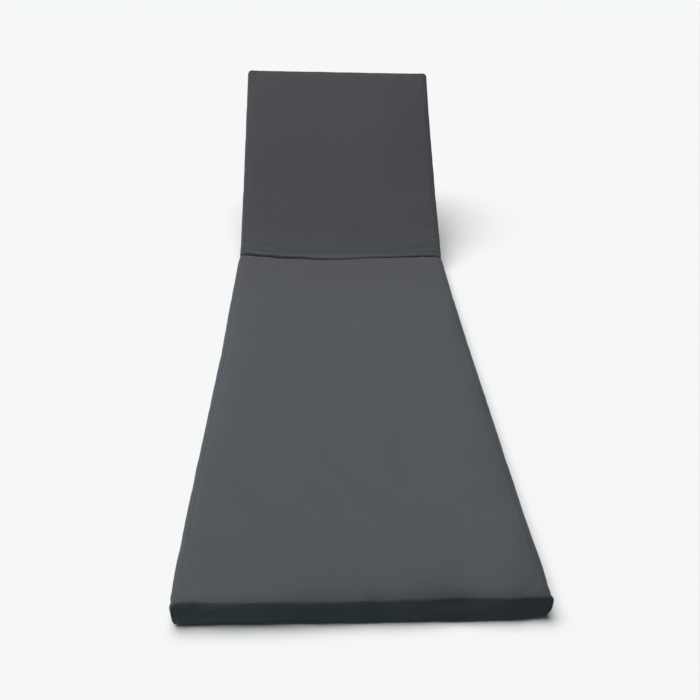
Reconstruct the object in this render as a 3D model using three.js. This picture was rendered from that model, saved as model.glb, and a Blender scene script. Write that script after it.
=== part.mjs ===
// A sun lounger cushion: one long foam-filled pad in a boxed cover, folded once where the back rest rises.
// The seat section lies flat and the back section rises from the fold. Millimetres, +Z up, foot end towards -Y.
// The pad is worked out flat first, as (x across, s along from the foot end, t through the thickness),
// and then bent upwards at the fold. Top panel, side band and bottom panel meet at the sewn edges.
import * as THREE from "three";
import { mergeVertices } from "three/addons/utils/BufferGeometryUtils.js";

// Driving dimensions
const WIDTH = 600; // outside, over the side bands
const SEAT_LENGTH = 1270; // foot end to fold
const BACK_LENGTH = 730; // fold to head end
const THICKNESS = 50; // foam and cover, at the middle of a section
const BACK_ANGLE = THREE.MathUtils.degToRad(35); // back section above the seat section
const COLOUR = 0x53575a;

// Cover: where the sewn edges lie and how far the foam swells past them
const TOP_SEAM_IN = 14; // top seam, in from the outside of the side band
const TOP_SEAM_HEIGHT = 45.5; // the panels dip to the top seam by the crown
const CROWN = 5; // top panel above its seam
const CROWN_REACH = 32; // distance over which the crown builds up
const BOTTOM_SEAM_IN = 8;
const BOTTOM_SEAM_HEIGHT = 3;
const BOTTOM_EDGE_HEIGHT = 0.6; // bottom panel, where it leaves the surface
const BAND_WIDEST = 24; // height at which the side band stands out most
const BAND_SQUARENESS = 0.62; // under 1 makes the band fuller than a quarter ellipse

// Fold: a channel sewn through the pad, and the bend of the foam around it
const TOP_CHANNEL = { depth: 16, reach: 17 };
const BOTTOM_CHANNEL = { depth: 13, reach: 22 };
const CHANNEL_AT_SIDE = 0.72; // the band holds the channel up at the sides, to this share of its depth
// The sewn line bows towards the foot end: how far at its left end, at its peak and at its right end
const FOLD_BOW = { left: -8, peak: 35, right: 1, peakAt: -40 };
const FOLD_BOW_REACH = 170; // distance over which the panels follow the bow
const FOLD_PINCH = 5; // side band drawn in at the fold
const FOLD_PINCH_REACH = 20;
const BEND_START = SEAT_LENGTH - 17;
const BEND_LENGTH = 78;

// Unevenness of a sewn, stuffed thing: how far each side stands out or in along the length
const SIDE_SWELL = [
  { s: 0, left: -1.8, right: 1 },
  { s: 45, left: -0.2, right: 1.6 },
  { s: 130, left: 1, right: 0.5 },
  { s: 220, left: 1.2, right: -0.4 },
  { s: 540, left: -1.1, right: -1.1 },
  { s: 740, left: -2.8, right: -1.8 },
  { s: 1000, left: -0.3, right: -0.4 },
  { s: 1240, left: 0.7, right: 2.2 },
  { s: 1330, left: -0.9, right: 3.2 },
  { s: 1520, left: -0.3, right: 1.1 },
  { s: 1850, left: 1, right: -1 },
];
// How far the foot end's top edge droops, across the width, and the distance over which it does
const FOOT_DROOP = [
  { x: -300, mm: 0 },
  { x: -150, mm: 0.6 },
  { x: -40, mm: 2 },
  { x: 90, mm: 4 },
  { x: 220, mm: 3.5 },
  { x: 300, mm: 2 },
];
const FOOT_DROOP_REACH = 38;

// Mesh: distances from a sewn edge, and from the fold, at which the panels have a line of points
const EDGE_LINES = [0, 8, 20, 38, 62, 96];
const FOLD_LINES = [0, 3.5, 8, 13, 19, 27, 38, 54, 78, 115];
const PLAIN_SPACING = 78; // largest gap between lines elsewhere
const CORNER_STEPS = 4;
const BAND_STEPS_ABOVE = 5; // rings of points from the top seam to the widest line
const BAND_STEPS_BELOW = 3;

const LENGTH = SEAT_LENGTH + BACK_LENGTH;
const PANEL_HALF = WIDTH / 2 - TOP_SEAM_IN;
const PANEL_START = TOP_SEAM_IN;
const PANEL_END = LENGTH - TOP_SEAM_IN;

// Value of a column in a short table, smoothly between its rows
function fromTable(rows, key, at, column) {
  const next = rows.findIndex((row) => row[key] >= at);
  if (next === -1) return rows[rows.length - 1][column];
  if (next === 0) return rows[0][column];
  const a = rows[next - 1];
  const b = rows[next];
  const share = THREE.MathUtils.smoothstep(at, a[key], b[key]);
  return THREE.MathUtils.lerp(a[column], b[column], share);
}

// Lines at the given distances inside both ends of a stretch, and evenly spaced between them
function linesBetween(start, end, nearStart, nearEnd) {
  const first = nearStart.map((d) => start + d);
  const last = nearEnd.map((d) => end - d).reverse();
  const from = first[first.length - 1];
  const gap = last[0] - from;
  const count = Math.ceil(gap / PLAIN_SPACING);
  const middle = Array.from({ length: count - 1 }, (_, i) => from + (gap * (i + 1)) / count);
  return [...first, ...middle, ...last];
}

const LINES_ACROSS = linesBetween(-PANEL_HALF, PANEL_HALF, EDGE_LINES, EDGE_LINES);
const LINES_ALONG = [
  ...linesBetween(PANEL_START, SEAT_LENGTH, EDGE_LINES, FOLD_LINES).slice(0, -1),
  ...linesBetween(SEAT_LENGTH, PANEL_END, FOLD_LINES, EDGE_LINES),
];

// How far the sewn line of the fold has bowed towards the foot end at x
function foldBow(x) {
  const { left, peak, right, peakAt } = FOLD_BOW;
  const onLeft = x < peakAt;
  const share = Math.abs(x - peakAt) / (onLeft ? WIDTH / 2 + peakAt : WIDTH / 2 - peakAt);
  return THREE.MathUtils.lerp(onLeft ? left : right, peak, Math.cos((Math.PI / 2) * Math.min(share, 1)));
}

function distanceFromFold(x, s) {
  return Math.abs(s - SEAT_LENGTH + foldBow(x));
}

// Moves a line of points near the fold along with the bow of the sewn line
function followFold(x, s) {
  const share = 1 - THREE.MathUtils.smoothstep(Math.abs(s - SEAT_LENGTH), 0, FOLD_BOW_REACH);
  return s - foldBow(x) * share;
}

// Share of a channel's depth at a distance from its sewn line: round shoulders that meet in a valley
function channelShape(distance, reach) {
  const share = 1 - Math.min(distance / reach, 1);
  return 1 - Math.sqrt(1 - share * share);
}

function channelDepth(channel, x, s) {
  const inside = THREE.MathUtils.smoothstep(PANEL_HALF - Math.abs(x), 0, CROWN_REACH);
  const depth = channel.depth * THREE.MathUtils.lerp(CHANNEL_AT_SIDE, 1, inside);
  return depth * channelShape(distanceFromFold(x, s), channel.reach);
}

function buildUp(distance) {
  return 1 - Math.exp(-Math.max(distance, 0) / CROWN_REACH);
}

function topHeight(x, s) {
  const fromSide = PANEL_HALF - Math.abs(x);
  const fromEnd = Math.min(s - PANEL_START, PANEL_END - s);
  const crown = CROWN * buildUp(fromSide) * buildUp(fromEnd);
  const droop = fromTable(FOOT_DROOP, "x", x, "mm") * Math.exp(-(s - PANEL_START) / FOOT_DROOP_REACH);
  return TOP_SEAM_HEIGHT + crown - droop - channelDepth(TOP_CHANNEL, x, s);
}

function bottomHeight(x, s, edgeHeight) {
  return edgeHeight + channelDepth(BOTTOM_CHANNEL, x, s);
}

// Side band section: how far each ring stands out from the top seam, and its share of the height
function bandSection() {
  const rings = [];
  for (let i = 1; i <= BAND_STEPS_ABOVE; i += 1) {
    const angle = (Math.PI / 2) * (i / BAND_STEPS_ABOVE);
    const out = TOP_SEAM_IN * Math.sin(angle) ** BAND_SQUARENESS;
    const up = Math.max(Math.cos(angle), 0) ** BAND_SQUARENESS;
    rings.push({ out, height: THREE.MathUtils.lerp(BAND_WIDEST, TOP_SEAM_HEIGHT, up) });
  }
  for (let i = BAND_STEPS_BELOW - 1; i >= 0; i -= 1) {
    const angle = (Math.PI / 2) * (i / BAND_STEPS_BELOW);
    const inward = BOTTOM_SEAM_IN * (1 - Math.sin(angle) ** BAND_SQUARENESS);
    const down = Math.cos(angle) ** BAND_SQUARENESS;
    rings.push({ out: TOP_SEAM_IN - inward, height: THREE.MathUtils.lerp(BAND_WIDEST, BOTTOM_SEAM_HEIGHT, down) });
  }
  return rings;
}

// The panels' edge, once round, anticlockwise from above: each point with the way the band stands out there
function panelEdge() {
  const edge = [];
  const across = LINES_ACROSS.length - 1;
  const along = LINES_ALONG.length - 1;
  const addSide = (points, angle) => {
    const out = { x: Math.cos(angle), s: Math.sin(angle) };
    points.forEach(([i, j]) => edge.push({ i, j, out }));
    const [ci, cj] = points[points.length - 1];
    for (let k = 1; k < CORNER_STEPS; k += 1) {
      const turned = angle + (Math.PI / 2) * (k / CORNER_STEPS);
      edge.push({ i: ci, j: cj, out: { x: Math.cos(turned), s: Math.sin(turned) } });
    }
  };
  const upTo = (n) => Array.from({ length: n + 1 }, (_, k) => k);
  addSide(upTo(across).map((i) => [i, 0]), -Math.PI / 2);
  addSide(upTo(along).map((j) => [across, j]), 0);
  addSide(upTo(across).map((i) => [across - i, along]), Math.PI / 2);
  addSide(upTo(along).map((j) => [0, along - j]), Math.PI);
  return edge;
}

// Bends a point of the flat pad: the foam's middle layer follows an arc at the fold and is straight beyond it
function bent(x, s, t) {
  const middle = THICKNESS / 2;
  const radius = BEND_LENGTH / BACK_ANGLE;
  const along = THREE.MathUtils.clamp(s - BEND_START, 0, BEND_LENGTH);
  const angle = along / radius;
  const before = Math.min(s, BEND_START);
  const after = Math.max(s - BEND_START - BEND_LENGTH, 0);
  const y = before + radius * Math.sin(angle) + after * Math.cos(angle);
  const z = middle + radius * (1 - Math.cos(angle)) + after * Math.sin(angle);
  const up = t - middle;
  return [x, y - up * Math.sin(angle), z + up * Math.cos(angle)];
}

// Moves a point outwards or inwards with the unevenness of the sides, which fades towards the middle
function swollen(x, s) {
  const share = Math.abs(x) / (WIDTH / 2);
  const side = x < 0 ? "left" : "right";
  return x + Math.sign(x) * share * fromTable(SIDE_SWELL, "s", s, side);
}

function cushionGeometry() {
  const positions = [];
  const faces = [];
  const addPoint = (x, s, t) => positions.push(...bent(swollen(x, s), s, t)) / 3 - 1;
  const addFace = (a, b, c) => {
    if (a !== b && b !== c && c !== a) faces.push(a, b, c);
  };
  const addQuad = (a, b, c, d) => {
    addFace(a, b, c);
    addFace(a, c, d);
  };

  const top = LINES_ACROSS.map((x) =>
    LINES_ALONG.map((line) => {
      const s = followFold(x, line);
      return addPoint(x, s, topHeight(x, s));
    }),
  );
  const bottom = LINES_ACROSS.map((x, i) =>
    LINES_ALONG.map((line, j) => {
      const s = followFold(x, line);
      const atEdge = i === 0 || j === 0 || i === LINES_ACROSS.length - 1 || j === LINES_ALONG.length - 1;
      return addPoint(x, s, bottomHeight(x, s, atEdge ? BOTTOM_EDGE_HEIGHT : 0));
    }),
  );
  for (let i = 0; i < LINES_ACROSS.length - 1; i += 1) {
    for (let j = 0; j < LINES_ALONG.length - 1; j += 1) {
      addQuad(top[i][j], top[i + 1][j], top[i + 1][j + 1], top[i][j + 1]);
      addQuad(bottom[i][j], bottom[i][j + 1], bottom[i + 1][j + 1], bottom[i + 1][j]);
    }
  }

  const edge = panelEdge();
  const rings = bandSection().map(({ out, height }) =>
    edge.map((point) => {
      const x = LINES_ACROSS[point.i];
      const s = followFold(x, LINES_ALONG[point.j]);
      const topHere = topHeight(x, s);
      const bottomHere = bottomHeight(x, s, 0);
      const t = bottomHere + (height / TOP_SEAM_HEIGHT) * (topHere - bottomHere);
      const pinch = FOLD_PINCH * channelShape(distanceFromFold(x, s), FOLD_PINCH_REACH);
      const reach = out - pinch * (out / TOP_SEAM_IN);
      return addPoint(x + point.out.x * reach, s + point.out.s * reach, t);
    }),
  );
  const loops = [edge.map((p) => top[p.i][p.j]), ...rings, edge.map((p) => bottom[p.i][p.j])];
  for (let r = 0; r < loops.length - 1; r += 1) {
    for (let k = 0; k < edge.length; k += 1) {
      const next = (k + 1) % edge.length;
      addQuad(loops[r][k], loops[r + 1][k], loops[r + 1][next], loops[r][next]);
    }
  }

  const geometry = new THREE.BufferGeometry();
  geometry.setAttribute("position", new THREE.Float32BufferAttribute(positions, 3));
  geometry.setIndex(faces);
  return mergeVertices(geometry);
}

function cushion() {
  const geometry = cushionGeometry();
  const material = new THREE.MeshStandardMaterial({ color: COLOUR, roughness: 0.85, metalness: 0 });
  const mesh = new THREE.Mesh(geometry, material);
  mesh.name = "cushion";
  return mesh;
}

// The frame's origin is the middle of the box that holds the cushion, on the surface it lies on
const lounger = new THREE.Group();
const pad = cushion();
pad.geometry.computeBoundingBox();
const middle = pad.geometry.boundingBox.getCenter(new THREE.Vector3());
pad.position.set(-middle.x, -middle.y, -pad.geometry.boundingBox.min.z);
lounger.add(pad);

export default lounger;
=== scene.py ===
# %% [markdown]
# # A sun lounger cushion, sewn and filled
#
# A sun lounger cushion is a long slab of foam in a boxed cover: a top panel, a bottom panel and a side band
# sewn between them. A line sewn across it makes the fold, so that the head end can rise. The frame holds one
# plain solid for it. This script sews a finer cover over the same shape, fills it with a cloth simulation,
# presses in the small unevenness of sewn cloth, and shows it in a soft studio light.

import math

import bmesh
import bpy
import numpy as np
from mathutils import Matrix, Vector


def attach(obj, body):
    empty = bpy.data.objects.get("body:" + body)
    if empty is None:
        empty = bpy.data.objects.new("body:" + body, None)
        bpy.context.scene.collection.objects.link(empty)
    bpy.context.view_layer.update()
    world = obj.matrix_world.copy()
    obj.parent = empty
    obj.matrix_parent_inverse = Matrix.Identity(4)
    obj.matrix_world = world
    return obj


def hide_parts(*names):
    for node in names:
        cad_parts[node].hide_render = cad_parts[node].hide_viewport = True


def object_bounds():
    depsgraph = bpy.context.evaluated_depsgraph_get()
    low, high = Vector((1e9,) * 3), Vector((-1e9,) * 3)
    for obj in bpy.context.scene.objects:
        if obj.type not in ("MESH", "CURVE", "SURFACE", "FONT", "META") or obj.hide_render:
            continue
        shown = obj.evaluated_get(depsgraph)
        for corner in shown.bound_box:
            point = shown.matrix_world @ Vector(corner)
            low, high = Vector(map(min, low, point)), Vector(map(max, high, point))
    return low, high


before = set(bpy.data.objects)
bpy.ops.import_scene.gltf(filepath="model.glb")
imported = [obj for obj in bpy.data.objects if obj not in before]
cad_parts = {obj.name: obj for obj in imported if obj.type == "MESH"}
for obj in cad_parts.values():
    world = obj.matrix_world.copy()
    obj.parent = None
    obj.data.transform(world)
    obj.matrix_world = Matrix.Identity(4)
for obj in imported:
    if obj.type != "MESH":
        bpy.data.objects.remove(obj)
cad_low, cad_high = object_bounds()
print("solid pad from", [round(c, 4) for c in cad_low], "to", [round(c, 4) for c in cad_high])

# %% [markdown]
# ## The camera
#
# A long pad seen from its foot end shrinks quickly towards its head end. How strongly it shrinks tells how
# near the camera stood, so place and lens are set together. The camera stands above the foot end, a little
# left of the middle, and looks down at about 32 degrees.

# %% Set up the camera
PICTURE_WIDTH = 700  # pixels
FOCAL_LENGTH = 745.12  # pixels
SENSOR_WIDTH = 36  # mm
CAMERA_PLACE = (-0.07294, -1.69903, 0.98526)
CAMERA_TURN = math.radians(-3.078)
CAMERA_LOOKS_DOWN = math.radians(32.128)
CAMERA_LEAN = math.radians(1.686)

camera = bpy.data.objects.new("camera", bpy.data.cameras.new("camera"))
camera.data.sensor_width = SENSOR_WIDTH
camera.data.lens = SENSOR_WIDTH * FOCAL_LENGTH / PICTURE_WIDTH
camera.matrix_world = (
    Matrix.Translation(CAMERA_PLACE)
    @ Matrix.Rotation(CAMERA_TURN, 4, "Z")
    @ Matrix.Rotation(math.pi / 2 - CAMERA_LOOKS_DOWN, 4, "X")
    @ Matrix.Rotation(CAMERA_LEAN, 4, "Z")
)
bpy.context.scene.collection.objects.link(camera)
bpy.context.scene.camera = camera
print("lens", round(camera.data.lens, 2), "mm")

# %% [markdown]
# ## The pattern
#
# A bent pad could be modelled in place. A cover is cut flat, though, so the pad is worked out flat first: x
# across it, s along it from the foot end, and t up through its thickness, all in millimetres. Bending comes
# last, and the distance of every pucker from its seam is known. The band starts BAND_TAKEN_IN too small,
# because the filling presses it out again.

# %% Sizes of the pad
MM_IN_METRE = 1000
WIDTH = 600
SEAT_LENGTH = 1270
BACK_LENGTH = 730
THICKNESS = 50
BACK_ANGLE = math.radians(35)

TOP_SEAM_IN = 14
TOP_SEAM_HEIGHT = 46.3
BOTTOM_SEAM_IN = 8
BOTTOM_SEAM_HEIGHT = 3
BOTTOM_EDGE_HEIGHT = 0.6
BAND_WIDEST = 24
BAND_SQUARENESS = 0.62
BAND_TAKEN_IN = 1

LENGTH = SEAT_LENGTH + BACK_LENGTH
PANEL_HALF = WIDTH / 2 - TOP_SEAM_IN
PANEL_START = TOP_SEAM_IN
PANEL_END = LENGTH - TOP_SEAM_IN
print("top panel", 2 * PANEL_HALF, "x", PANEL_END - PANEL_START, "mm")

# %% [markdown]
# The long sides of a used pad aren't straight: the foam swells by a few millimetres. Noise could do this, but
# the real sides are known at a few places, so each side is a table of (place along the pad, millimetres
# outwards), and a soft step joins one row to the next.

# %% How the sides wander
LEFT_SWELL = [
    (0, -2.4), (40, 1.6), (130, 1.2), (220, 1.4), (540, -0.6), (740, -2.4),
    (1000, -0.3), (1240, 0.7), (1330, -0.9), (1520, -0.3), (1850, 1),
]
RIGHT_SWELL = [
    (0, 0), (40, 2.3), (130, 0.4), (220, -0.2), (540, -0.6), (740, -1.3),
    (1000, -0.4), (1240, 2.2), (1330, 3.2), (1520, 1.1), (1850, -1),
]


def soft_step(value, low, high):
    share = np.clip((value - low) / (high - low), 0, 1)
    return share * share * (3 - 2 * share)


def from_table(rows, at):
    """Amount at a place, smoothly between the rows of (place, amount)."""
    places, amounts = np.array(rows, float).T
    at = np.asarray(at, float)
    row = np.clip(np.searchsorted(places, at) - 1, 0, len(rows) - 2)
    share = soft_step(at, places[row], places[row + 1])
    return amounts[row] + (amounts[row + 1] - amounts[row]) * share


def swollen(x, s):
    amount = np.where(x < 0, from_table(LEFT_SWELL, s), from_table(RIGHT_SWELL, s))
    return x + np.sign(x) * np.abs(x) / (WIDTH / 2) * amount


print("right side at the fold stands out", round(float(from_table(RIGHT_SWELL, SEAT_LENGTH)), 2), "mm")

# %% [markdown]
# ## The fold
#
# The line sewn across the fold has been pulled towards the foot end in the middle, and it wanders by a few
# millimetres more. Its channel has round shoulders, as squeezed foam has, and a sharp valley, and is deepest
# on the left. A formula makes the bow, and tables by place across the pad make what is irregular.

# %% Line of the fold
FOLD_BOW = {"left": -8, "peak": 35, "right": 1, "peak_at": -40}
FOLD_BOW_REACH = 170
FOLD_WANDER = [
    (-300, 2), (-250, 4), (-180, 1), (-110, -5), (-60, -2.5), (0, -3),
    (50, -5), (95, -8), (150, -5), (230, -2), (300, 1),
]


def fold_bow(x):
    on_left = x < FOLD_BOW["peak_at"]
    reach = np.where(on_left, WIDTH / 2 + FOLD_BOW["peak_at"], WIDTH / 2 - FOLD_BOW["peak_at"])
    share = np.minimum(np.abs(x - FOLD_BOW["peak_at"]) / reach, 1)
    at_end = np.where(on_left, FOLD_BOW["left"], FOLD_BOW["right"])
    bow = at_end + (FOLD_BOW["peak"] - at_end) * np.cos(math.pi / 2 * share)
    return bow + from_table(FOLD_WANDER, x)


def past_fold(x, s):
    """Distance beyond the sewn line of the fold, negative on the seat section."""
    return s - SEAT_LENGTH + fold_bow(x)


def follow_fold(x, s):
    """Place along the pad of a row of points, which bends with the fold near it."""
    share = 1 - soft_step(np.abs(s - SEAT_LENGTH), 0, FOLD_BOW_REACH)
    return s - fold_bow(x) * share


print("fold bows", round(float(fold_bow(np.array(-40.0))), 1), "mm towards the foot end")

# %% Channel of the fold
TOP_CHANNEL = {"depth": 14, "reach": 13}
BOTTOM_CHANNEL = {"depth": 13, "reach": 22}
CHANNEL_AT_SIDE = 0.72
CHANNEL_FADE = 32
CHANNEL_EASED = [
    (-300, 0.75), (-270, 0.85), (-160, 1), (-100, 0.75), (0, 0.5),
    (60, 0.36), (140, 0.4), (220, 0.5), (300, 0.62),
]


def channel_shape(distance, reach):
    share = 1 - np.minimum(distance / reach, 1)
    return 1 - np.sqrt(1 - share * share)


def channel_depth(channel, x, s):
    inside = soft_step(PANEL_HALF - np.abs(x), 0, CHANNEL_FADE)
    depth = channel["depth"] * (CHANNEL_AT_SIDE + (1 - CHANNEL_AT_SIDE) * inside)
    return depth * channel_shape(np.abs(past_fold(x, s)), channel["reach"])


print("channel is up to", TOP_CHANNEL["depth"], "mm deep on top,", BOTTOM_CHANNEL["depth"], "below")

# %% [markdown]
# ## Height and bend
#
# A filled panel rises quickly beside its seam and then stays nearly level, as an exponential does. The foot
# end droops a little right of its middle, and the head end is flatter than the rest.
#
# Blender's Simple Deform modifier bends all of the thickness alike. Foam folds sharply on top, where the
# thread is, and turns in a wide bow underneath. So there are two bends, one wide and one tight, and each
# point takes its share of the tight one by its height. Beyond the fold the share fades.

# %% Height of the top panel
CROWN = 3
CROWN_REACH = 20
HEAD_FLATTER = {"share": 0.5, "from": 260, "up_to": 40}
FOOT_DROOP = [(-300, 0), (-150, 0.6), (-40, 2), (90, 4), (220, 3.5), (300, 2)]
FOOT_DROOP_REACH = 38


def build_up(distance):
    return 1 - np.exp(-np.maximum(distance, 0) / CROWN_REACH)


def top_height(x, s):
    from_side = PANEL_HALF - np.abs(x)
    from_end = np.minimum(s - PANEL_START, PANEL_END - s)
    at_head = soft_step(s, LENGTH - HEAD_FLATTER["from"], LENGTH - HEAD_FLATTER["up_to"])
    crown = CROWN * build_up(from_side) * build_up(from_end) * (1 - HEAD_FLATTER["share"] * at_head)
    droop = from_table(FOOT_DROOP, x) * np.exp(-(s - PANEL_START) / FOOT_DROOP_REACH)
    channel = channel_depth(TOP_CHANNEL, x, s) * from_table(CHANNEL_EASED, x)
    return TOP_SEAM_HEIGHT + crown - droop - channel


print("middle of the seat is", round(float(top_height(np.array(0.0), np.array(600.0))), 1), "mm thick")

# %% The bend
BEND_START = SEAT_LENGTH - 17
BEND_LENGTH = 78
TIGHT_BEND_BEFORE = 8
TIGHT_BEND_LENGTH = 30
TIGHT_BEND_FADES = (20, 300)
TIGHT_BEND_FOLLOWS = 0.55


def bend(s, t, start, length):
    radius = length / BACK_ANGLE
    angle = np.clip(s - start, 0, length) / radius
    before = np.minimum(s, start)
    after = np.maximum(s - start - length, 0)
    up = t - THICKNESS / 2
    y = before + radius * np.sin(angle) + after * np.cos(angle) - up * np.sin(angle)
    z = THICKNESS / 2 + radius * (1 - np.cos(angle)) + after * np.sin(angle) + up * np.cos(angle)
    return y, z


def bent(x, s, t):
    """Places in the frame, in metres, of points of the flat pad."""
    y, z = bend(s, t, BEND_START, BEND_LENGTH)
    tight_start = SEAT_LENGTH - TIGHT_BEND_FOLLOWS * fold_bow(x) - TIGHT_BEND_BEFORE
    tight_y, tight_z = bend(s, t, tight_start, TIGHT_BEND_LENGTH)
    share = np.clip(t / THICKNESS, 0, 1) * (1 - soft_step(past_fold(x, s), *TIGHT_BEND_FADES))
    y, z = y + (tight_y - y) * share, z + (tight_z - z) * share
    return np.stack([swollen(x, s), y, z], -1) / MM_IN_METRE


print("head end rises to", np.round(bent(np.array(0.0), np.array(float(LENGTH)), np.array(50.0))[2], 3), "m")

# %% [markdown]
# ## The cover
#
# The mesh follows the sewing: rows of points run along each seam and the fold, close together where cloth
# turns sharply. It is one closed mesh, as the cover is joined all round. Each point remembers its place on
# the flat pattern and its distance from the top seam over the cloth: below 0 on the top panel, above 0 on
# the band and underneath.

# %% Rows of the cover
NEAR_SEAM = [0, 2.5, 5, 8, 12, 17, 24, 32, 42, 56, 74]
NEAR_FOLD = [0, 2, 4, 7, 10, 14, 19, 25, 32, 40, 48, 56, 64, 73, 82, 92, 103, 116]
PLAIN_ACROSS = 22
PLAIN_ALONG = 18


def rows_between(start, end, near_start, near_end, spacing):
    first = [start + d for d in near_start]
    last = [end - d for d in reversed(near_end)]
    count = math.ceil((last[0] - first[-1]) / spacing)
    middle = np.linspace(first[-1], last[0], count + 1)[1:-1]
    return [*first, *middle, *last]


ACROSS = np.array(rows_between(-PANEL_HALF, PANEL_HALF, NEAR_SEAM, NEAR_SEAM, PLAIN_ACROSS))
ALONG = np.array(
    rows_between(PANEL_START, SEAT_LENGTH, NEAR_SEAM, NEAR_FOLD, PLAIN_ALONG)[:-1]
    + rows_between(SEAT_LENGTH, PANEL_END, NEAR_FOLD, NEAR_SEAM, PLAIN_ALONG)
)
print("rows across", len(ACROSS), "and along", len(ALONG))

# %% [markdown]
# Along the sides the foam rounds the band off. At the foot end it leans: the face runs out below the top
# seam and turns in again near the floor, with a soft top edge on the left and a sharp one on the right. A
# bevel would give one roundness everywhere, so curves that blend into each other are drawn instead.

# %% Curves of the side band
CURVE_POINTS = 200
FOOT_SOFT = [
    (0, 46.3), (2.5, 45.2), (5, 42.5), (7, 38), (8.5, 31), (9.5, 22), (9.5, 12), (8.4, 6), (6.5, 3),
]
FOOT_SHARP = [(0, 46.3), (1, 43.6), (2.6, 39), (5, 32), (8, 22), (9.8, 12), (9.2, 6), (7, 3)]


def evenly(out, height):
    """The same curve with evenly spaced points, and its length over the cloth."""
    run = np.concatenate([[0], np.cumsum(np.hypot(np.diff(out), np.diff(height)))])
    even = np.linspace(0, run[-1], CURVE_POINTS)
    return np.interp(even, run, out), np.interp(even, run, height), run[-1]


def side_curve():
    """Points (out, height) of the band from the top seam to the bottom seam."""
    angle = np.linspace(0, math.pi / 2, CURVE_POINTS)
    upper_out = TOP_SEAM_IN * np.sin(angle) ** BAND_SQUARENESS
    upper_share = np.clip(np.cos(angle), 0, 1) ** BAND_SQUARENESS
    upper_height = BAND_WIDEST + (TOP_SEAM_HEIGHT - BAND_WIDEST) * upper_share
    turn = angle[::-1][1:]
    lower_out = TOP_SEAM_IN - BOTTOM_SEAM_IN * (1 - np.sin(turn) ** BAND_SQUARENESS)
    lower_share = np.clip(np.cos(turn), 0, 1) ** BAND_SQUARENESS
    lower_height = BAND_WIDEST + (BOTTOM_SEAM_HEIGHT - BAND_WIDEST) * lower_share
    out = np.concatenate([upper_out, lower_out]) * (1 - BAND_TAKEN_IN / TOP_SEAM_IN)
    return evenly(out, np.concatenate([upper_height, lower_height]))


side_out, side_height, BAND_LENGTH = side_curve()
soft_out, soft_height = evenly(*np.array(FOOT_SOFT, float).T)[:2]
sharp_out, sharp_height = evenly(*np.array(FOOT_SHARP, float).T)[:2]
print("side band is", round(float(BAND_LENGTH), 1), "mm deep over the cloth")

# %% Section of the side band
BAND_ROWS = [2.5, 5, 8.5, 13, 19, 25, 31, 37, 43, 48, 51.5]
UNDER_ROWS = 2
UNDER_LENGTH = math.hypot(TOP_SEAM_IN - BOTTOM_SEAM_IN, BOTTOM_SEAM_HEIGHT - BOTTOM_EDGE_HEIGHT)
UNDER_SHARES = [k / (UNDER_ROWS + 1) for k in range(1, UNDER_ROWS + 1)]

band_runs = [*BAND_ROWS, BAND_LENGTH, *[BAND_LENGTH + share * UNDER_LENGTH for share in UNDER_SHARES]]


def band_section(foot_share, softness):
    """How far out and how high each row of the band lies."""
    rows = np.array([*BAND_ROWS, BAND_LENGTH]) / BAND_LENGTH * (CURVE_POINTS - 1)
    foot_out = sharp_out + (soft_out - sharp_out) * softness
    foot_height = sharp_height + (soft_height - sharp_height) * softness
    curve_out = side_out + (foot_out - side_out) * foot_share
    curve_height = side_height + (foot_height - side_height) * foot_share
    out = np.interp(rows, np.arange(CURVE_POINTS), curve_out)
    height = np.interp(rows, np.arange(CURVE_POINTS), curve_height)
    share = np.array(UNDER_SHARES)
    under_height = height[-1] + (BOTTOM_EDGE_HEIGHT - height[-1]) * share
    return np.concatenate([out, out[-1] * (1 - share)]), np.concatenate([height, under_height])


print("rows round the band", len(band_runs))

# %% [markdown]
# The panels are two grids, one above the other, and the band is a set of loops between their edges. At each
# corner it turns round a single point of the panel, as a sewn box corner does. The two foot corners are
# squarer than a quarter of a circle, because the foam's own corner stands behind the cloth, and
# CORNER_SQUARENESS makes them so.

# %% Points of the two panels
SAME_PLACE = 1e-6

places = []
seam_distances = []


def add_points(x, s, t, from_seam):
    """Adds flat points and gives their numbers, in the shape of x."""
    x, s, t, from_seam = np.broadcast_arrays(x, s, t, from_seam)
    first = len(places)
    places.extend(zip(x.ravel().tolist(), s.ravel().tolist(), t.ravel().tolist()))
    seam_distances.extend(from_seam.ravel().tolist())
    return np.arange(first, len(places)).reshape(x.shape)


grid_x, grid_line = np.meshgrid(ACROSS, ALONG, indexing="ij")
grid_s = follow_fold(grid_x, grid_line)
to_end = np.minimum(grid_line - PANEL_START, PANEL_END - grid_line)
to_edge = np.minimum(PANEL_HALF - np.abs(grid_x), to_end)
top = add_points(grid_x, grid_s, top_height(grid_x, grid_s), -to_edge)
under_edge = np.where(to_edge < SAME_PLACE, BOTTOM_EDGE_HEIGHT, 0)
under_height = under_edge + channel_depth(BOTTOM_CHANNEL, grid_x, grid_s)
under = add_points(grid_x, grid_s, under_height, BAND_LENGTH + UNDER_LENGTH + to_edge)
print("panel points", len(places))

# %% Columns of the side band
CORNER_STEPS = 5


def panel_edge():
    """Grid numbers and outward angle of each column of the band, once round anticlockwise."""
    last_i, last_j = len(ACROSS) - 1, len(ALONG) - 1
    sides = [
        ([(i, 0) for i in range(last_i + 1)], -math.pi / 2),
        ([(last_i, j) for j in range(last_j + 1)], 0),
        ([(i, last_j) for i in range(last_i, -1, -1)], math.pi / 2),
        ([(0, j) for j in range(last_j, -1, -1)], math.pi),
    ]
    edge = []
    for points, angle in sides:
        edge += [(i, j, angle) for i, j in points]
        i, j = points[-1]
        edge += [(i, j, angle + math.pi / 2 * k / CORNER_STEPS) for k in range(1, CORNER_STEPS)]
    return edge


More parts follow.
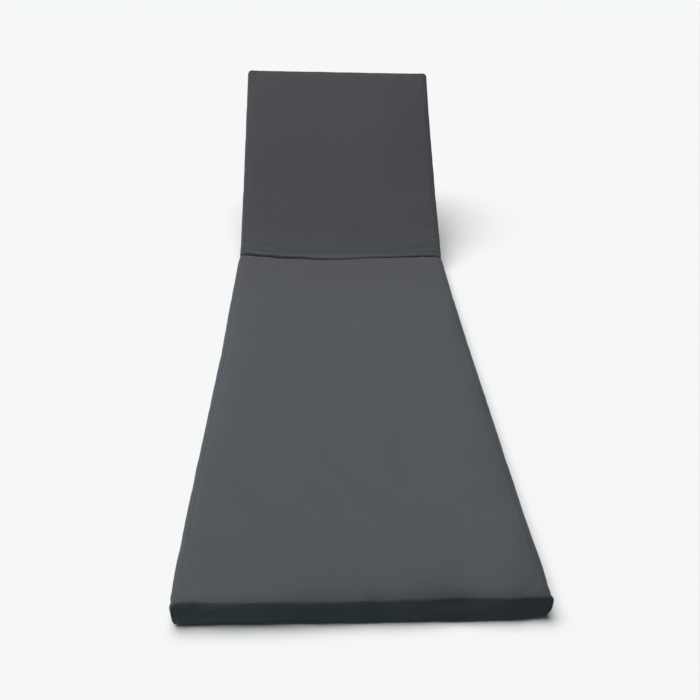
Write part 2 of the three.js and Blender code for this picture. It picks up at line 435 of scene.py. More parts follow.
edge = panel_edge()
edge_i = np.array([e[0] for e in edge])
edge_j = np.array([e[1] for e in edge])
edge_angle = np.array([e[2] for e in edge])
seam_x, seam_s = grid_x[edge_i, edge_j], grid_s[edge_i, edge_j]
print("columns of the band", len(edge))

# %% Sections round the pad
FOOT_SOFTNESS = [(-300, 0.9), (-110, 0.8), (20, 0.35), (140, 0), (300, 0)]
CORNER_SHARE = 0.7
CORNER_REACH = 90

near_corner = CORNER_SHARE * (1 - soft_step(seam_s, PANEL_START, PANEL_START + CORNER_REACH))
at_foot = np.maximum(np.clip(-np.sin(edge_angle), 0, 1), near_corner)
sections = [band_section(*pair) for pair in zip(at_foot, from_table(FOOT_SOFTNESS, seam_x))]
outs = np.array([section[0] for section in sections]).T
heights = np.array([section[1] for section in sections]).T
print("band stands out by up to", round(float(outs.max()), 1), "mm")

# %% Loops of the side band
CORNER_SQUARENESS = 4
FOLD_PINCH = 5
FOLD_PINCH_REACH = 20

cosine, sine = np.cos(edge_angle), np.sin(edge_angle)
power = CORNER_SQUARENESS
square = (np.abs(cosine) ** power + np.abs(sine) ** power) ** (-1 / power)
square = np.where(seam_s < SEAT_LENGTH, square, 1)
pinch = FOLD_PINCH * channel_shape(np.abs(past_fold(seam_x, seam_s)), FOLD_PINCH_REACH)
seam_top = top_height(seam_x, seam_s)
seam_bottom = channel_depth(BOTTOM_CHANNEL, seam_x, seam_s)

loops = [top[edge_i, edge_j]]
for out, height, run in zip(outs, heights, band_runs):
    reach = (out - pinch * out / TOP_SEAM_IN) * square
    t = seam_bottom + height / TOP_SEAM_HEIGHT * (seam_top - seam_bottom)
    loops.append(add_points(seam_x + cosine * reach, seam_s + sine * reach, t, run))
loops.append(under[edge_i, edge_j])
print("loops of the band", len(loops))

# %% [markdown]
# Where two seams meet, the doubled cloth stands out in a small ear, the largest at the right foot corner,
# which is tucked in lower down. The foot end's top seam has also slipped to and fro by up to 3 mm. All three
# fade with distance. Sculpting could do them, but moves made from numbers stay the same each time.

# %% Ears of the corners
FOOT_EAR = {"left": 5, "left_reach": 30, "right": 12, "right_reach": 40, "forward": 1.5}
HEAD_EAR = {"out": 1.2, "reach": 30}
EAR_FROM_HEIGHT = 8
TUCKED_CORNER = {"from": 215, "back": 7, "in": 4, "up_to_height": 30}
FOOT_SEAM_BACK = [
    (-300, -1), (-265, 1), (-235, -1.6), (-200, -3.4), (-90, -2.8), (-40, -3.4),
    (10, -0.9), (86, 1), (150, 2.8), (215, 1.2), (270, 2.6), (300, 3),
]
FOOT_SEAM_REACH = 30


def ears(x, s, t):
    """Moves the cover's corners outwards, most at the top seam, and lets the foot seam wander."""
    dx = np.abs(x) - PANEL_HALF
    foot_reach = np.where(x < 0, FOOT_EAR["left_reach"], FOOT_EAR["right_reach"])
    near_foot = np.exp(-np.hypot(dx, s - PANEL_START) / foot_reach)
    near_head = np.exp(-np.hypot(dx, PANEL_END - s) / HEAD_EAR["reach"])
    high = soft_step(t, EAR_FROM_HEIGHT, TOP_SEAM_HEIGHT)
    foot_out = np.where(x < 0, FOOT_EAR["left"], FOOT_EAR["right"]) * near_foot
    moved_x = np.sign(x) * (foot_out + HEAD_EAR["out"] * near_head) * high
    moved_s = HEAD_EAR["out"] * near_head - FOOT_EAR["forward"] * near_foot
    moved_s += from_table(FOOT_SEAM_BACK, x) * np.exp(-np.maximum(s - PANEL_START, 0) / FOOT_SEAM_REACH)
    low = 1 - soft_step(t, 0, TUCKED_CORNER["up_to_height"])
    tucked = soft_step(x, TUCKED_CORNER["from"], PANEL_HALF) * low * near_foot
    moved_x -= TUCKED_CORNER["in"] * tucked
    return x + moved_x, s + moved_s * high + TUCKED_CORNER["back"] * tucked, t


right_corner = ears(np.array(PANEL_HALF), np.array(float(PANEL_START)), np.array(TOP_SEAM_HEIGHT))
print("right foot corner moves to", [round(float(v), 1) for v in right_corner])

# %% [markdown]
# A weave must not stretch, so each face also gets its place on the cloth in metres, in a UV map. The top panel
# comes first, the bottom panel lies beside it and the band beside that, as pieces on a cutting table.

# %% Faces of the panels
UNDER_ON_CLOTH = 2 * WIDTH

faces = []
cloth_places = []
flat = np.array(places)


def add_face(corners, on_cloth):
    kept = [k for k in range(4) if corners[k] != corners[k - 1]]
    if len(kept) > 2:
        faces.append([int(corners[k]) for k in kept])
        cloth_places.extend(on_cloth[k] for k in kept)


def add_panel(grid, shift, turned):
    for i in range(len(ACROSS) - 1):
        for j in range(len(ALONG) - 1):
            corners = [grid[i, j], grid[i + 1, j], grid[i + 1, j + 1], grid[i, j + 1]]
            corners = corners[::-1] if turned else corners
            add_face(corners, [(flat[c][0] + shift, flat[c][1]) for c in corners])


add_panel(top, 0, False)
add_panel(under, UNDER_ON_CLOTH, True)
print("faces of both panels", len(faces))

# %% Faces of the side band
BAND_ON_CLOTH = 3 * WIDTH
CORNER_RUN = TOP_SEAM_IN * math.pi / 2 / CORNER_STEPS

gaps = np.hypot(np.diff(seam_x, append=seam_x[:1]), np.diff(seam_s, append=seam_s[:1]))
column_run = np.concatenate([[0], np.cumsum(np.where(gaps < SAME_PLACE, CORNER_RUN, gaps))])
loop_run = [0, *band_runs, BAND_LENGTH + UNDER_LENGTH]
for r in range(len(loops) - 1):
    for k in range(len(edge)):
        after = (k + 1) % len(edge)
        corners = [loops[r][k], loops[r + 1][k], loops[r + 1][after], loops[r][after]]
        near, far = BAND_ON_CLOTH + column_run[k], BAND_ON_CLOTH + column_run[k + 1]
        upper, lower = loop_run[r], loop_run[r + 1]
        add_face(corners, [(near, upper), (near, lower), (far, lower), (far, upper)])
print("faces with the band", len(faces))

# %% [markdown]
# The solid's box is centred on the frame, so the flat pattern's start moves to the solid's foot end, and
# FOOT_FACE_IN further out: the foot face is drawn in, and only its widest part reaches the end of the box.

# %% Sew the cover
FOOT_FACE_IN = 3

cover_mesh = bpy.data.meshes.new("cushion_cover")
cover_mesh.from_pydata(bent(*ears(*flat.T)).tolist(), [], faces)
cloth_map = cover_mesh.uv_layers.new(name="cloth")
on_cloth = np.array(cloth_places) / MM_IN_METRE
cloth_map.uv.foreach_set("vector", on_cloth.astype(np.float32).ravel())
flat_place = cover_mesh.attributes.new("flat_place", "FLOAT_VECTOR", "POINT")
flat_place.data.foreach_set("vector", flat.astype(np.float32).ravel())
seam_distance = cover_mesh.attributes.new("from_seam", "FLOAT", "POINT")
seam_distance.data.foreach_set("value", np.array(seam_distances, np.float32))
cover_mesh.transform(Matrix.Translation((0, cad_low.y - FOOT_FACE_IN / MM_IN_METRE, 0)))

cover = bpy.data.objects.new("cushion_cover", cover_mesh)
bpy.context.scene.collection.objects.link(cover)
print("cover sewn,", len(cover_mesh.vertices), "points")

# %% [markdown]
# ## Filling the cover
#
# Foam pushes a cover outwards until the seams hold it. Blender's Cloth does the same with a little pressure:
# the seams and the fold are pinned, and the cloth, cut slightly too large, is pressed out. Real foam is firm,
# so a cap then limits how far any point has moved.

# %% Pin the seams
PIN_WIDTH = 1.0
FOLD_PIN_WIDTH = 3.0


def read(mesh, name):
    data = mesh.attributes[name].data
    size = 3 if name == "flat_place" else 1
    values = np.empty(len(data) * size, np.float32)
    data.foreach_get("vector" if size == 3 else "value", values)
    return values.astype(float).reshape(-1, 3) if size == 3 else values.astype(float)


x, s = read(cover_mesh, "flat_place").T[:2]
from_seam = read(cover_mesh, "from_seam")
at_seam = (np.abs(from_seam) < PIN_WIDTH) | (np.abs(from_seam - BAND_LENGTH) < PIN_WIDTH)
off_band = (from_seam < 0) | (from_seam > BAND_LENGTH)
at_fold = (np.abs(past_fold(x, s)) < FOLD_PIN_WIDTH) & off_band
resting = from_seam > BAND_LENGTH
pinned = at_seam | at_fold | resting
pins = cover.vertex_groups.new(name="pinned")
pins.add(np.flatnonzero(pinned).tolist(), 1.0, "REPLACE")
print("pinned points", int(pinned.sum()), "of", len(x))

# %% Run the cloth
FRAMES = 20
PRESSURE = 4
EXTRA_CLOTH = 0.005
CLOTH_FEEL = {
    "quality": 6, "mass": 0.25, "tension_stiffness": 12, "compression_stiffness": 12,
    "shear_stiffness": 6, "bending_stiffness": 0.4,
}


def positions(mesh):
    values = np.empty(len(mesh.vertices) * 3, np.float32)
    mesh.vertices.foreach_get("co", values)
    return values.astype(float).reshape(-1, 3)


def fill(pad):
    """Points of the pad after the cloth has been pressed out for some frames."""
    cloth = pad.modifiers.new("filling", "CLOTH")
    for name, value in CLOTH_FEEL.items():
        setattr(cloth.settings, name, value)
    cloth.settings.shrink_min = -EXTRA_CLOTH
    cloth.settings.vertex_group_mass = "pinned"
    cloth.settings.use_pressure = True
    cloth.settings.uniform_pressure_force = PRESSURE
    cloth.settings.effector_weights.gravity = 0
    cloth.point_cache.frame_start = 1
    cloth.point_cache.frame_end = FRAMES
    for number in range(1, FRAMES + 1):
        bpy.context.scene.frame_set(number)
    filled = pad.evaluated_get(bpy.context.evaluated_depsgraph_get())
    result = positions(filled.data)
    pad.modifiers.remove(cloth)
    bpy.context.scene.frame_set(1)
    return result


before = positions(cover_mesh)
after_cloth = fill(cover)
cover.vertex_groups.remove(pins)
moved = (after_cloth - before) * MM_IN_METRE
amount = np.linalg.norm(moved, axis=1)
print("cloth pressed out by", round(float(amount.mean()), 2), "mm, at most", round(float(amount.max()), 2))

# %% Cap the movement
CAP = 1.1
STANDS_STILL = 1e-9

limit = CAP * np.tanh(amount / CAP) / np.maximum(amount, STANDS_STILL)
filled_places = before + moved * limit[:, None] / MM_IN_METRE
cover_mesh.vertices.foreach_set("co", filled_places.astype(np.float32).ravel())
print("after the cap, mean", round(float((amount * limit).mean()), 2), "mm")

# %% [markdown]
# ## Seams, puckers and creases
#
# Thread draws the cloth into a narrow valley, gathers it into short puckers beside the seam, and bunches it
# at the corners. These are only a millimetre high, so they need a finer mesh: one subdivision everywhere, and
# more cuts along the top seam.

# %% Refine the cover
FINE_FROM, FINE_TO = -26, 14
SAME_ROW = 0.4
LONG_EDGE = 0.0045
CUTS = 2


def refine(pad):
    bpy.context.view_layer.objects.active = pad
    rounded = pad.modifiers.new("rounded", "SUBSURF")
    rounded.levels = 1
    rounded.render_levels = 1
    bpy.ops.object.modifier_apply(modifier=rounded.name)
    work = bmesh.new()
    work.from_mesh(pad.data)
    distance = work.verts.layers.float["from_seam"]
    long_edges = []
    for e in work.edges:
        a, b = [v[distance] for v in e.verts]
        if FINE_FROM < a < FINE_TO and FINE_FROM < b < FINE_TO and abs(a - b) < SAME_ROW:
            if e.calc_length() > LONG_EDGE:
                long_edges.append(e)
    bmesh.ops.subdivide_edges(work, edges=long_edges, cuts=CUTS, use_grid_fill=True)
    work.to_mesh(pad.data)
    work.free()
    pad.data.update()
    return len(long_edges)


cut = refine(cover)
cover_mesh = cover.data
print("edges cut along the seam", cut, "- points now", len(cover_mesh.vertices))

# %% [markdown]
# Nothing sewn is regular, so the small shapes are drawn from smooth random heights. A displacement texture
# couldn't run along a seam and be short across it. Here each wave has its own width in both directions, and a
# fixed seed keeps it the same in every run.

# %% Smooth random heights
TABLE_SIZE = 211
TABLE_START = (40.37, 40.61)


def uneven(u, v, wave_u, wave_v, seed):
    """Random heights from -1 to 1 that change smoothly, with bumps of about the given widths."""
    heights = np.random.default_rng(seed).uniform(-1, 1, (TABLE_SIZE, TABLE_SIZE))
    a, b = u / wave_u + TABLE_START[0], v / wave_v + TABLE_START[1]
    i, j = np.floor(a).astype(int), np.floor(b).astype(int)
    p, q = soft_step(a - i, 0, 1), soft_step(b - j, 0, 1)
    left, right = i % TABLE_SIZE, (i + 1) % TABLE_SIZE
    low, high = [
        heights[left, row] * (1 - p) + heights[right, row] * p
        for row in (j % TABLE_SIZE, (j + 1) % TABLE_SIZE)
    ]
    return low * (1 - q) + high * q


sample = uneven(np.arange(4) * 30.0, np.zeros(4), 40, 40, 1)
print("sample of random heights", np.round(sample, 2).tolist())

# %% Where each point is on the pattern
SIDE_BLEND = 12
SIDE_REACH = 90

x, s = read(cover_mesh, "flat_place").T[:2]
from_seam = read(cover_mesh, "from_seam")
beyond = past_fold(x, s)
on_band = (from_seam > 0) & (from_seam < BAND_LENGTH)
underneath = from_seam > BAND_LENGTH
off_top_seam = np.abs(from_seam)
off_bottom_seam = np.abs(from_seam - BAND_LENGTH)
off_seam = np.minimum(off_top_seam, off_bottom_seam)
from_side = WIDTH / 2 - np.abs(x)
from_end = np.minimum(s, LENGTH - s)
near_side = np.exp(-np.maximum(from_side - from_end, 0) / SIDE_BLEND) * np.exp(-from_side / SIDE_REACH)
near_end = np.exp(-np.maximum(from_end - from_side, 0) / SIDE_BLEND) * np.exp(-from_end / SIDE_REACH)
along_seam = np.where(near_end > near_side, x, s)
print("points on top", int((from_seam < 0).sum()), "on the band", int(on_band.sum()))

# %% [markdown]
# A seam is a narrow valley between two low lips. On the real pad it is shallow along the seat, almost gone at
# the foot end, where the cloth is stretched over the edge, and deepest along the back section.

# %% Valleys of the seams
def bump_at(distance, width):
    return np.exp(-((distance / width) ** 2))


SEAM_DEPTH = 1.0
VALLEY_WIDTH = 1.7
LIP = {"height": 0.3, "off_seam": 4.5, "width": 2.4}
SEAT_SEAM = {"share": 0.55, "deepens_over": 80}
FOOT_SEAM = {"share": 0.25, "from": 20, "up_to": 70}

on_top_seam = from_seam < BAND_LENGTH / 2
along_seat = soft_step(s, SEAT_LENGTH - SEAT_SEAM["deepens_over"], SEAT_LENGTH)
along_foot = soft_step(s, FOOT_SEAM["from"], FOOT_SEAM["up_to"])
seam_share = np.where(on_top_seam, SEAT_SEAM["share"] + (1 - SEAT_SEAM["share"]) * along_seat, 1)
seam_share *= np.where(on_top_seam, FOOT_SEAM["share"] + (1 - FOOT_SEAM["share"]) * along_foot, 1)
lips = LIP["height"] * bump_at(off_seam - LIP["off_seam"], LIP["width"])
valley = seam_share * (-SEAM_DEPTH * bump_at(off_seam, VALLEY_WIDTH) + lips)
print("valleys up to", round(float(-valley.min()), 2), "mm deep")

# %% [markdown]
# Tight thread shortens the seam, and the spare cloth beside it rises in puckers. They stand across the seam,
# slant a little and fade quickly. Two waves make them, a short and a long one. Each side of the pad draws
# from its own part of the random heights, so no two look alike.

# %% Puckers beside the seams
PUCKER_HEIGHT = 0.7
PUCKER_STARTS = 4
PUCKER_REACH = 13
PUCKER_WAVES = [(0.6, 0.5, 11, 30), (0.5, 0.3, 24, 40)]  # share, slant, wave along, wave across
SIDES_APART = 700
ENDS_APART = 900


def pucker_waves(along, apart, seeds):
    height = 0
    for (share, slant, wave, across), seed in zip(PUCKER_WAVES, seeds):
        height = height + share * uneven(along, apart + slant * from_seam, wave, across, seed)
    return height


along_side = pucker_waves(s, np.sign(x) * SIDES_APART, (2, 3))
along_end = pucker_waves(x, s / LENGTH * ENDS_APART, (4, 5))
gathered = near_side * along_side + near_end * along_end
pucker_fade = soft_step(off_seam, 0, PUCKER_STARTS) * np.exp(-off_seam / PUCKER_REACH)
puckers = PUCKER_HEIGHT * pucker_fade * gathered
print("puckers from", round(float(puckers.min()), 2), "to", round(float(puckers.max()), 2), "mm")

# %% [markdown]
# Foam sheet is never quite even, and cloth lies over it in wide, shallow hollows. They are less than a
# millimetre deep, but they keep the light from lying flat on the large panels.

# %% Soft unevenness of the filling
HOLLOWS = 0.7
HOLLOWS_BUILD_UP = (4, 60)
HOLLOW_WAVES = [(0.7, 170, 230, 6), (0.4, 75, 95, 7)]  # share, across, along, seed

wide, small = [share * uneven(x, s, *wave) for share, *wave in HOLLOW_WAVES]
hollows = HOLLOWS * soft_step(off_seam, *HOLLOWS_BUILD_UP) * (wide + small)
hollows[underneath] = 0
print("hollows from", round(float(hollows.min()), 2), "to", round(float(hollows.max()), 2), "mm")

# %% [markdown]
# At the fold the thread cuts a slit into the bottom of the channel. Fine wrinkles run along it on the seat
# side. The back side has short gathers at both ends, where the cloth is folded over the edge, and more of
# them along the right edge just above.

# %% Creases at the fold
CREASE_DEPTH = 1.2
CREASE_WIDTH = 2
FINE_WRINKLES = {"height": 0.8, "lie": (6, 24, 60, 150), "waves": (120, 9)}
END_WRINKLES = {"height": 1.5, "lie": (12, 24, 40, 75), "waves": (60, 8), "build_up": (175, 235)}
EDGE_WRINKLES = {"height": 0.9, "lie": (50, 90, 230, 330), "waves": (45, 9), "build_up": (225, 265)}


def between(value, rises_from, rises_to, falls_from, falls_to):
    return soft_step(value, rises_from, rises_to) * (1 - soft_step(value, falls_from, falls_to))


def wrinkles(kind, distance, share, seed):
    """Wrinkles that run along the fold, at their distance from it and in their share of the width."""
    height = kind["height"] * (between(distance, *kind["lie"]) * share)
    return height * uneven(x, beyond, *kind["waves"], seed)


at_both_ends = soft_step(np.abs(x), *END_WRINKLES["build_up"])
at_right_edge = soft_step(x, *EDGE_WRINKLES["build_up"])
creases = -CREASE_DEPTH * np.exp(-np.abs(beyond) / CREASE_WIDTH) * from_table(CHANNEL_EASED, x)
creases += wrinkles(FINE_WRINKLES, -beyond, 1, 8)
creases += wrinkles(END_WRINKLES, beyond, at_both_ends, 9)
creases += wrinkles(EDGE_WRINKLES, beyond, at_right_edge, 16)
creases = np.where(from_seam < 0, creases, 0)
print("creases from", round(float(creases.min()), 2), "to", round(float(creases.max()), 2), "mm")

# %% [markdown]
# The band turns a sharp corner, so it is gathered there into narrow upright folds, most of all at the foot
# end. Between the corners it was pulled on lengthwise, which leaves long, faint streaks.

# %% Gathers and streaks of the band
CORNER_GATHER = {"height": 2.6, "full_for": 8, "fade": 22, "off_seam": 5, "waves": (4.2, 60)}
CORNER_STRENGTH = {"foot_left": 0.8, "foot_right": 0.6, "head": 0.3}
STREAK = {"height": 0.35, "off_seam": (2, 10), "waves": (130, 8)}

on_seat = s < SEAT_LENGTH
at_foot_corner = np.where(x < 0, CORNER_STRENGTH["foot_left"], CORNER_STRENGTH["foot_right"])
corner_strength = np.where(on_seat, at_foot_corner, CORNER_STRENGTH["head"])
past_corner = np.maximum(np.hypot(from_side, from_end) - CORNER_GATHER["full_for"], 0)
corner_fade = np.exp(-past_corner / CORNER_GATHER["fade"]) * on_band
corner_fade = corner_fade * soft_step(off_seam, 0, CORNER_GATHER["off_seam"])
gather = CORNER_GATHER["height"] * corner_strength * corner_fade
gather *= uneven(along_seam, from_seam, *CORNER_GATHER["waves"], 10)
streaks = STREAK["height"] * on_band * soft_step(off_seam, *STREAK["off_seam"])
streaks = streaks * uneven(along_seam, from_seam, *STREAK["waves"], 11)
band_shapes = gather + streaks
print("corner gathers up to", round(float(np.abs(gather).max()), 2), "mm")

# %% [markdown]
# Hands pull on the foot end. Its top edge has soft dips where the foam has given way, and the seam there
# wanders a little and goes back where it goes down. Each dip has its place across the pad, its half width
# and its depth.

# %% Dips of the foot end
FOOT_DIPS = [(-40, 62, 3.0), (150, 52, 4.0), (285, 30, 3.0)]
FOOT_DIP_REACH = 40
FOOT_DIP_DOWN_BAND = (4, 34)
DIP_PULLS_BACK = {"share": 0.73, "reach": 30}
FOOT_WANDER = {"amount": 0.5, "wave": 55, "reach": 22, "down_band": 20}

from_foot_seam = s - PANEL_START
dip = np.zeros(len(x))
for place, width, depth in FOOT_DIPS:
    dip += depth * bump_at(x - place, width)
dip_fade = 1 - soft_step(from_seam, *FOOT_DIP_DOWN_BAND)
dip *= np.exp(-np.maximum(from_foot_seam, 0) / FOOT_DIP_REACH) * dip_fade
wander = FOOT_WANDER["amount"] * uneven(x, np.zeros(len(x)), FOOT_WANDER["wave"], 1, 12)
wander_fade = 1 - soft_step(from_seam, 0, FOOT_WANDER["down_band"])
wander *= bump_at(from_foot_seam, FOOT_WANDER["reach"]) * wander_fade
wander += DIP_PULLS_BACK["share"] * dip * bump_at(from_foot_seam, DIP_PULLS_BACK["reach"])
print("deepest dip", round(float(dip.max()), 2), "mm")

# %% [markdown]
# A Displace modifier would need these heights as a texture. They are known at each point, so the points are
# moved directly, along the mesh's normals. Nothing may sink below the surface the pad lies on.

# %% Press them into the cover
normals = np.empty(len(x) * 3, np.float32)
cover_mesh.vertex_normals.foreach_get("vector", normals)
normals = normals.astype(float).reshape(-1, 3)
press = valley + puckers + hollows + creases + band_shapes
points = positions(cover_mesh) + normals * press[:, None] / MM_IN_METRE
points[:, 2] -= dip / MM_IN_METRE
points[:, 1] += wander / MM_IN_METRE
points[:, 2] = np.maximum(points[:, 2], 0)
cover_mesh.vertices.foreach_set("co", points.astype(np.float32).ravel())
cover_mesh.update()
for polygon in cover_mesh.polygons:
    polygon.use_smooth = True
print("cover is", np.round((points.max(0) - points.min(0)) * MM_IN_METRE).tolist(), "mm")

# %% [markdown]
# ## Wear, painted highlights and painted shade on the cloth
#
# A material can't know where the seams are, so each point gets marks, numbers from 0 to about 1, that the
# nodes read by name. The lips beside the seams are paler, partly from wear and partly as a painted highlight
# of their ridge, and a stretch of the seat's left edge has a painted highlight, as it faces the light. Painted
# shade lies along the right edge, which faces away from the light, and dims the pale lips there.

# %% Pale lips, painted highlight and painted shade
WEAR_REACH = 2.6
UPPER_LIP, LOWER_LIP, LOWER_LIP_SHARE = 3.5, 3, 0.6
WEAR_EVEN, WEAR_PATCHES = 0.65, (35, 30)
PALE_LIPS_FROM_FOOT = (10, 60)
# Painted highlight on a stretch of the seat's left edge, which faces the light.
LEFT_EDGE_HIGHLIGHT = {"x": -290, "s": 600, "reach_x": 42, "reach_s": 300, "strength": 0.9}
# Painted shade along the right edge, which faces away from the light.
SHADED_RIGHT_EDGE = {"across": (240, 290), "down_band": (-8, 4, 22, 40), "dims_pale_lips": 0.7}

# Pale lips beside the seams: partly wear, partly a painted highlight of their ridge.
wear_and_highlight = bump_at(off_top_seam - UPPER_LIP, WEAR_REACH)
wear_and_highlight += LOWER_LIP_SHARE * bump_at(off_bottom_seam - LOWER_LIP, WEAR_REACH)
patchy = uneven(x + s, from_seam, *WEAR_PATCHES, 13)
wear_and_highlight *= (WEAR_EVEN + (1 - WEAR_EVEN) * patchy) * soft_step(s, *PALE_LIPS_FROM_FOOT)
# The painted highlight of the left edge is added to the same mark.
left_edge_highlight = LEFT_EDGE_HIGHLIGHT["strength"] * bump_at(x - LEFT_EDGE_HIGHLIGHT["x"], LEFT_EDGE_HIGHLIGHT["reach_x"])
wear_and_highlight += left_edge_highlight * bump_at(s - LEFT_EDGE_HIGHLIGHT["s"], LEFT_EDGE_HIGHLIGHT["reach_s"])
# Painted shade along the right edge dims the pale lips there.
right_edge_shade = soft_step(x, *SHADED_RIGHT_EDGE["across"]) * between(from_seam, *SHADED_RIGHT_EDGE["down_band"])
wear_and_highlight *= 1 - SHADED_RIGHT_EDGE["dims_pale_lips"] * right_edge_shade
print("mean wear", round(float(wear_and_highlight.mean()), 3))

# %% [markdown]
# The back section is painted a darker, warmer grey than the seat, which sets in around the fold: painted shade
# for the raised back, which tilts away from the light. The band across the foot end is painted darker and
# cooler, as painted shade for the upright face that the light leaves dark. This painted shade ends where the
# band turns the corner.

# %% Shares of the painted shade of the back and the foot band
# How much of the back's painted shade lies at each distance past the fold.
BACK_SHADE_FROM_FOLD = [(-300, 0), (-60, 0.6), (0, 0.5), (20, 0.12), (60, 0.16), (150, 1)]
# Where the foot band's painted shade lies.
FOOT_SHADE_BAND = {"top": (-1, 2), "bottom": 3, "corner": (-9, 5)}

back_shade_share = from_table(BACK_SHADE_FROM_FOLD, beyond)
above_bottom_seam = 1 - soft_step(from_seam, BAND_LENGTH, BAND_LENGTH + FOOT_SHADE_BAND["bottom"])
foot_share = soft_step(from_seam, *FOOT_SHADE_BAND["top"]) * above_bottom_seam
foot_share *= soft_step(from_side - s, *FOOT_SHADE_BAND["corner"])
print("points on the foot band", int((foot_share > 0.5).sum()))

# %% [markdown]
# Soft spots of painted shade darken the foot end's top edge, the right edge, the corners, and the seat and
# back around the fold and the head end. Each row is one soft spot: its place across and along, its reach
# across and along, and its strength.

# %% Spots of painted shade
# Spots of painted shade: place across, place along, reach across, reach along, strength.
PAINTED_SHADE_SPOTS = [
    (-40, 14, 80, 42, 0.12), (120, 14, 46, 52, 0.13), (282, 14, 40, 60, 0.15), (215, 14, 60, 30, 0.06),
    (-160, 14, 140, 8, 0.16), (90, 14, 210, 17, 0.15), (230, 8, 170, 14, 0.17), (-130, 8, 22, 12, 0.14),
    (292, 300, 30, 90, 0.15), (288, 520, 28, 90, 0.14), (290, 840, 34, 170, 0.13), (288, 95, 30, 75, 0.18),
    (240, 1740, 90, 280, 0.12), (250, 1160, 70, 90, 0.05), (0, 1400, 260, 90, 0.05),
    (0, 1100, 500, 450, 0.03), (60, 1996, 300, 8, 0.10),
]
SHADE_PATCHY, SHADE_PATCHES = 0.35, (28, 45)
FOOT_STREAKY, FOOT_STREAKS = 0.12, (70, 5)
# Painted shade along the right edge, outside the foot band.
RIGHT_EDGE_SHADE_DARKER = 0.11

# Painted shade spots, with random streaks of tone on the foot band added to the same mark.
painted_shade_and_streaks = np.zeros(len(x))
for across, along, reach_x, reach_s, strength in PAINTED_SHADE_SPOTS:
    painted_shade_and_streaks += strength * bump_at(x - across, reach_x) * bump_at(s - along, reach_s)
painted_shade_and_streaks *= (from_seam < BAND_LENGTH) * (1 + SHADE_PATCHY * uneven(x, s, *SHADE_PATCHES, 14))
painted_shade_and_streaks += FOOT_STREAKY * foot_share * uneven(x, from_seam, *FOOT_STREAKS, 15)
# The right edge's painted shade is added here.
painted_shade_and_streaks += RIGHT_EDGE_SHADE_DARKER * right_edge_shade * (1 - foot_share)
print("darkest grip", round(float(painted_shade_and_streaks.max()), 2))

# %% Store the marks
STITCH_WIDTH = 0.9

marks = {
    "wear_and_highlight": wear_and_highlight,
    "back_shade_share": back_shade_share,
    "foot_share": foot_share,
    "painted_shade_and_streaks": painted_shade_and_streaks,
    "stitched": bump_at(off_seam, STITCH_WIDTH),
    "along_seam": along_seam / MM_IN_METRE,
}
for name, values in marks.items():
    stored = cover_mesh.attributes.new(name, "FLOAT", "POINT")
    stored.data.foreach_set("value", values.astype(np.float32))
for name in ("flat_place", "from_seam"):
    cover_mesh.attributes.remove(cover_mesh.attributes[name])
print("marks", ", ".join(marks))

# %% [markdown]
# ## The cloth
#
# The cover is dyed polyester in a fine plain weave. Two sets of waves, one for each direction, and a
# checkerboard that says which lies on top make its relief. A picture of a weave would do too, but waves stay
# sharp from near. They lie on the UV map in metres, so the threads have their real size. Blender's wave
# texture turns by 20 radians in each unit, which sets the scale for one wave on each thread.

# %% Helpers for nodes
THREAD = 0.0007


def add_node(tree, kind, inputs=None, **settings):
    """A node with its settings. Each input is linked to a socket, or set to a plain value."""
    node = tree.nodes.new(kind)
    for name, value in settings.items():
        setattr(node, name, value)
    for name, value in (inputs or {}).items():
        if isinstance(value, bpy.types.NodeSocket):
            tree.links.new(value, node.inputs[name])
        else:
            node.inputs[name].default_value = value
    return node


def math_node(tree, operation, a, b):
    return add_node(tree, "ShaderNodeMath", {0: a, 1: b}, operation=operation).outputs[0]


def mark(tree, name):
    return add_node(tree, "ShaderNodeAttribute", attribute_name=name).outputs["Fac"]


print("threads", THREAD * MM_IN_METRE, "mm apart")

# %% Relief of the weave
WAVE_TURNS = 20


def weave_height(tree, cloth):
    inputs = {"Vector": cloth, "Scale": 2 * math.pi / (WAVE_TURNS * THREAD), "Distortion": 0}
    waves = [
        add_node(tree, "ShaderNodeTexWave", inputs, wave_type="BANDS", bands_direction=way).outputs["Fac"]
        for way in ("X", "Y")
    ]
    over = add_node(tree, "ShaderNodeTexChecker", {"Vector": cloth, "Scale": 1 / THREAD}).outputs["Fac"]
    inputs = {"Factor": over, "A": waves[0], "B": waves[1]}
    return add_node(tree, "ShaderNodeMix", inputs, data_type="FLOAT").outputs["Result"]


print("waves for each unit", round(WAVE_TURNS / (2 * math.pi), 2))

# %% [markdown]
# Threads differ a little, so the colour's strength varies along them, with a wider, weak mottling. The needle
# leaves a dark hole every 3.5 mm along the seams. All of it is one number that the colour is multiplied by:
# near 1, a little more on the pale lips and the painted highlight, and less under painted shade and along the
# seams.

# %% Strength of the colour
STITCH = 0.0035
THREAD_FINE, THREAD_LONG = 1100, 18
THREAD_DETAIL = 1
# The last of these lightens the pale lips and the painted highlight of the left edge.
PLAIN_TONE, THREAD_TONE, CLOUD_TONE, WEAR_AND_HIGHLIGHT_TONE = 0.77, 0.16, 0.14, 0.10
HOLE_DARKNESS, SEAM_DARKNESS = 0.3, 0.06


def stretched_noise(tree, cloth, scale_u, scale_v, detail):
    inputs = {0: cloth, 1: (scale_u, scale_v, 1)}
    stretched = add_node(tree, "ShaderNodeVectorMath", inputs, operation="MULTIPLY").outputs[0]
    inputs = {"Vector": stretched, "Scale": 1, "Detail": detail}
    return add_node(tree, "ShaderNodeTexNoise", inputs).outputs["Fac"]


def darkened(tree, tone, share):
    return math_node(tree, "MULTIPLY", tone, math_node(tree, "SUBTRACT", 1, share))


